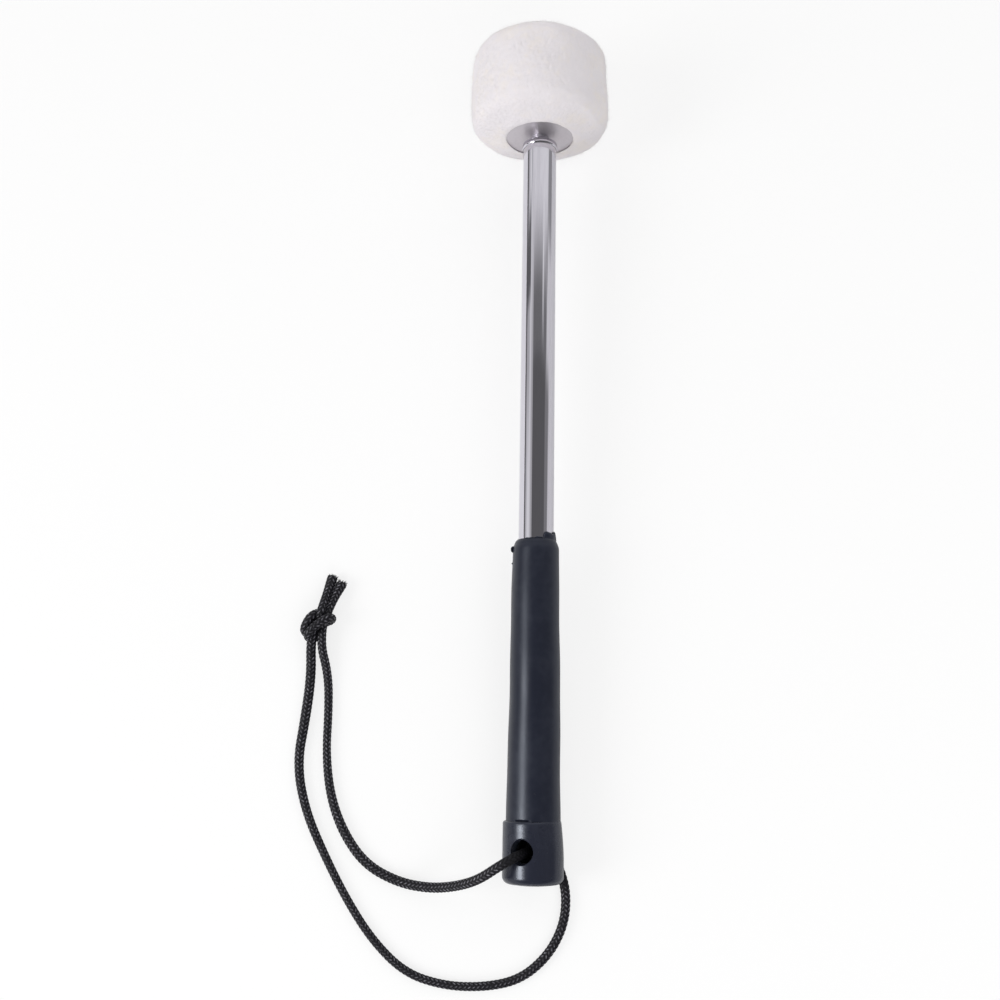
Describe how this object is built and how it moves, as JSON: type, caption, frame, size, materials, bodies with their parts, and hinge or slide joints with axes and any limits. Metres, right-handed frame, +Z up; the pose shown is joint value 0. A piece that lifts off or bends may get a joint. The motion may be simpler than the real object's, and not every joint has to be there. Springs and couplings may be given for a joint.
{
  "type": "bass drum beater",
  "caption": "Bass drum beater: a white felt head screwed to a bright metal shaft, a tapered dark grip with an end cap, and a knotted wrist cord through the cap.",
  "frame": {"origin": "on the surface that the beater lies on, under the middle of the beater without its cord", "axes": "+Y along the shaft from the grip to the head, +X to the right seen from above with the head away, +Z up"},
  "size_m": [0.1156, 0.3589, 0.0554],
  "materials": {
    "white_felt": "brushed felt",
    "padding_felt": "pressed felt",
    "core_wood": "turned",
    "washer_steel": "satin",
    "bright_metal": "polished",
    "thread_steel": "zinc plated",
    "grip_skin": "soft sheen",
    "grip_foam": "foam",
    "cap_rubber": "soft sheen",
    "cord_braid": "braided"
  },
  "bodies": {
    "handle": {"shaft_tube": "bright_metal", "shaft_plug": "bright_metal", "head_stud": "thread_steel", "grip_underlay": "grip_foam", "grip_sleeve": "grip_skin", "end_cap": "cap_rubber"},
    "washer": {"base_washer": "washer_steel"},
    "head": {"felt_cover": "white_felt", "felt_padding": "padding_felt", "head_core": "core_wood", "tee_nut": "thread_steel"},
    "wrist_cord": {"cord_in_cap": "cord_braid", "cord_front_leg": "cord_braid", "cord_back_leg": "cord_braid", "cord_knot": "cord_braid", "cord_tail_left": "cord_braid", "cord_tail_right": "cord_braid"}
  },
  "joints": [
    {"name": "head_travel", "type": "slide", "parent": "handle", "child": "washer", "axis": [0, 0.9985, 0.0539], "range_m": [0, 0.014]},
    {"name": "head_turn", "type": "hinge", "parent": "washer", "child": "head", "pos_m": [0, 0.12381, 0.027], "axis": [0, 0.9985, 0.0539], "range_deg": [0, 5040]},
    {"name": "cord_swing", "type": "hinge", "parent": "handle", "child": "wrist_cord", "pos_m": [0, -0.1496, 0.01225], "axis": [0, 0, 1], "range_deg": [-8, 25]}
  ],
  "couplings": [
    {"joint": "head_travel", "follows": "head_turn", "m_per_rad": 0.00015915}
  ]
}
